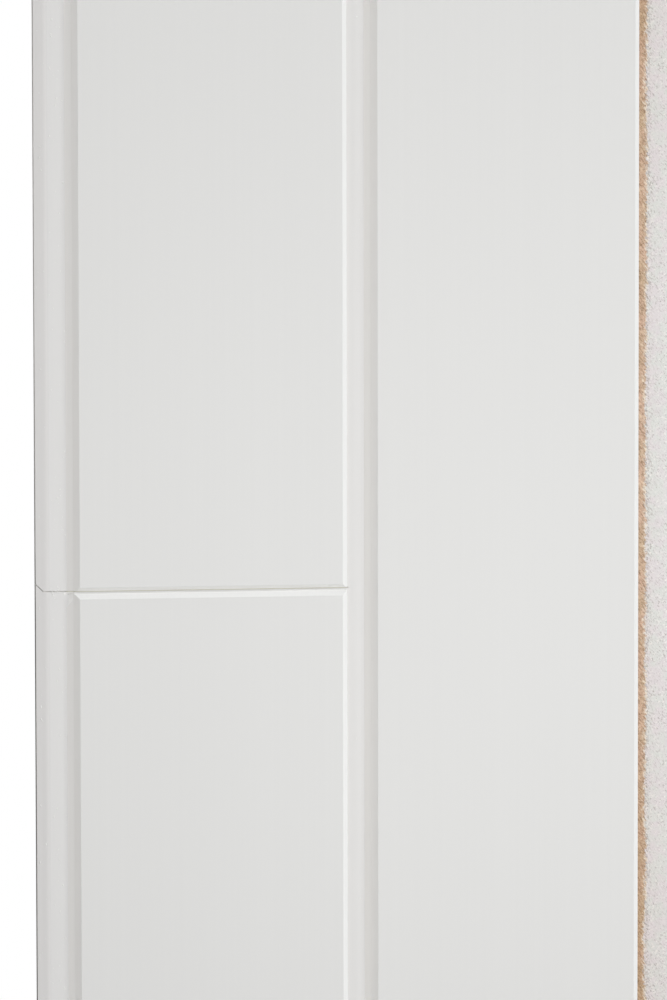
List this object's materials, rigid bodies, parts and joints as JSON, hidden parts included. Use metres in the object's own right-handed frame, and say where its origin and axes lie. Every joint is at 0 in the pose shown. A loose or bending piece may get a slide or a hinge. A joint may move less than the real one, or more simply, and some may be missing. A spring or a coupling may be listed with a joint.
{
  "type": "fibreboard wall panel",
  "caption": "Painted fibreboard wall sheet with a shadow gap between board-wide strips, a tongue along one edge and a slot with a nail lip along the other.",
  "frame": {"origin": "middle of the sheet's back face, under the middle of its length and of its overall width with tongue and nail lip", "axes": "+Z out of the painted face, +Y along the sheet, +X across it from the tongue edge to the slot edge"},
  "size_m": [0.3212, 2.4, 0.012],
  "materials": {
    "paint": "factory-sprayed matt off-white paint on fibreboard, with fine sanding streaks and specks along the milled edges",
    "raw_board": "bare medium-brown fibreboard, milled and fuzzy with fibres, overspray on the outer part of the nail lip"
  },
  "bodies": {
    "root": {"panel": "paint"}
  },
  "joints": []
}
